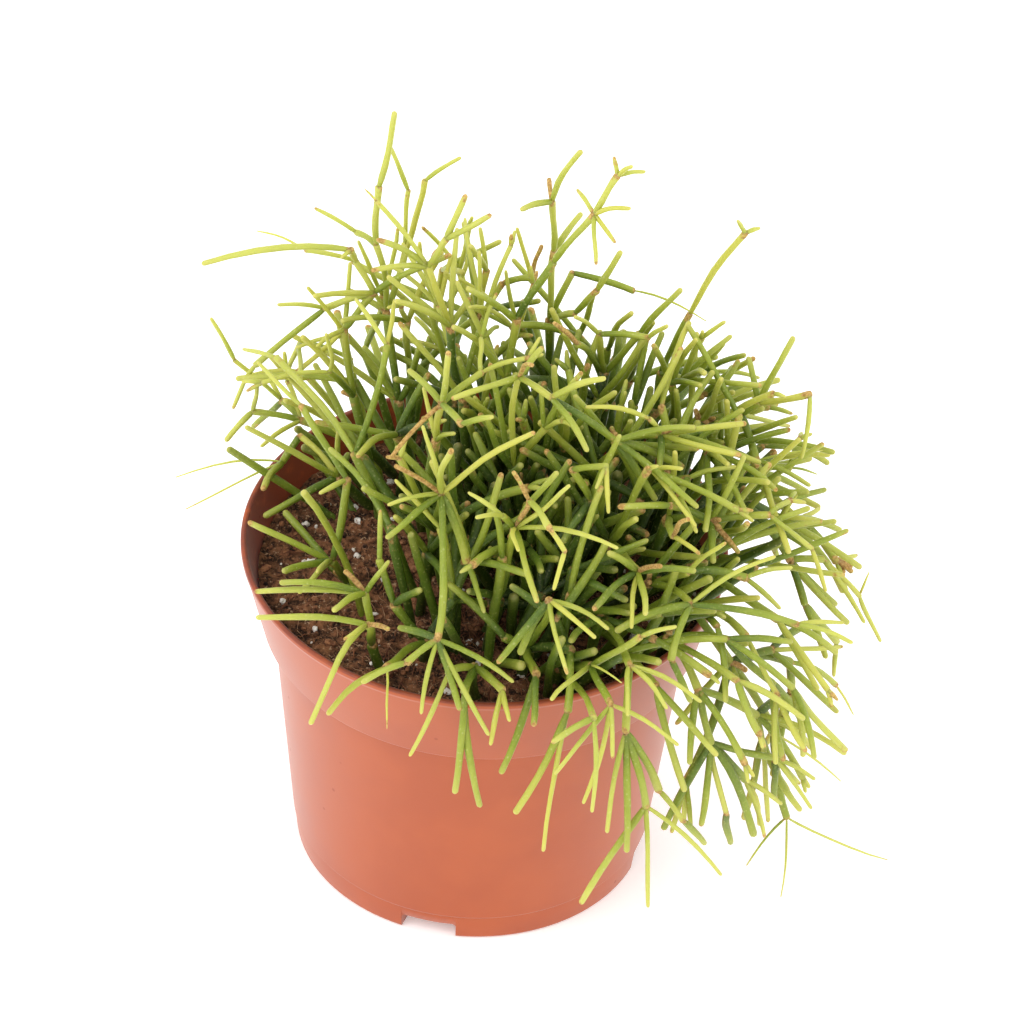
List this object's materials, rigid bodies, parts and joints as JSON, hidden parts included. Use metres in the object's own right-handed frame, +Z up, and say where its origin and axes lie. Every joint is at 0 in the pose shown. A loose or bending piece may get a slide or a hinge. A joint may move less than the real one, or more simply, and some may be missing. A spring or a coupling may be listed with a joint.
{
  "type": "potted cactus",
  "caption": "Mistletoe cactus: a mound of thin jointed green stems, rooted as cuttings in peat, in a tapered plastic nursery pot that it overhangs on one side.",
  "frame": {"origin": "middle of the pot's underside, on the ground it stands on", "axes": "+Z up; -Y is the side over which the longest stems hang (the front); +X is to the right of a viewer in front"},
  "size_m": [0.1812, 0.1541, 0.2082],
  "materials": {
    "pot": "semi-matt terracotta orange injection-moulded plastic, paler where light grazes it",
    "peat": "damp dark brown fibrous potting peat with bark chips, roots and white perlite",
    "stems": "smooth waxy succulent skin, dark green at the base to yellow green at the tips, with brown corky patches at the joints"
  },
  "bodies": {
    "root": {"pot": "pot", "peat": "peat", "cutting_left_low": "stems", "cutting_left_high": "stems", "cutting_top_left_a": "stems", "cutting_top_left_b": "stems", "cutting_top_left_c": "stems", "cutting_top_mid_a": "stems", "cutting_top_mid_b": "stems", "cutting_top_mid_c": "stems", "cutting_back_right_a": "stems", "cutting_back_right_b": "stems", "cutting_right_back": "stems", "cutting_crown_a": "stems", "cutting_crown_b": "stems", "cutting_star_left": "stems", "cutting_front_left_a": "stems", "cutting_front_left_b": "stems", "cutting_front_left_c": "stems", "cutting_front_mid_a": "stems", "cutting_front_mid_b": "stems", "cutting_front_drape": "stems", "cutting_front_right_a": "stems", "cutting_front_right_b": "stems", "cutting_right_mid_a": "stems", "cutting_right_mid_b": "stems", "cutting_right_mid_c": "stems", "cutting_right_low_a": "stems", "cutting_right_low_b": "stems", "cutting_right_far_a": "stems", "cutting_right_far_b": "stems", "cutting_right_hang": "stems"}
  },
  "joints": []
}
